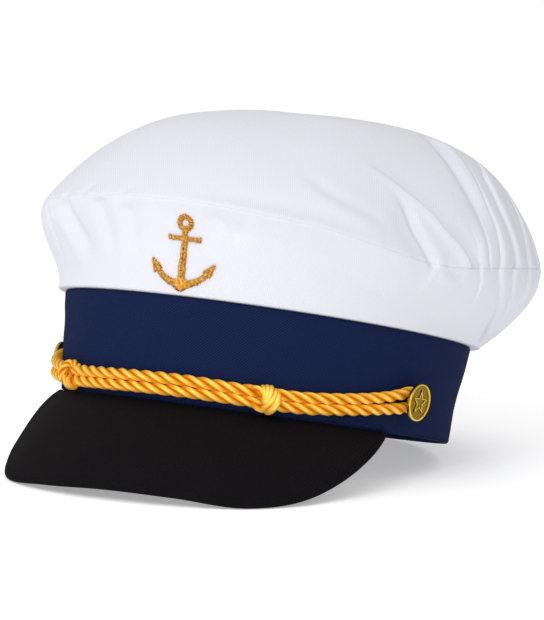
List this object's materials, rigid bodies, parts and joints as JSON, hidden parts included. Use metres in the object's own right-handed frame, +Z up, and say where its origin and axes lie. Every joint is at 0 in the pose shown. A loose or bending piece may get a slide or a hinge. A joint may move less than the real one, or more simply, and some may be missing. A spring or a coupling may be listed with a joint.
{
  "type": "peaked yachting cap",
  "caption": "Peaked yachting cap with a full soft crown on a wide band, a steep covered peak, a twisted cord between star buttons and an embroidered anchor.",
  "frame": {"origin": "on the surface that the cap rests on, under the middle of its bounding box", "axes": "+Z up, the peak towards -Y, the wearer's left towards +X"},
  "size_m": [0.2284, 0.2908, 0.1619],
  "materials": {
    "white_twill": "fine white cotton twill, matt",
    "navy_twill": "navy cotton twill with a fine diagonal, matt",
    "black_twill": "black twill pasted over a stiff peak, low sheen",
    "gold_cord": "twisted gold rayon cord, satin",
    "gold_metal": "stamped gold metal, polished",
    "gold_thread": "gold satin-stitch thread"
  },
  "bodies": {
    "root": {"crown_top": "white_twill", "crown_side": "white_twill", "band": "navy_twill", "peak": "black_twill", "cord": "gold_cord", "knot_left": "gold_cord", "knot_right": "gold_cord", "button_left": "gold_metal", "button_right": "gold_metal", "anchor": "gold_thread"}
  },
  "joints": []
}
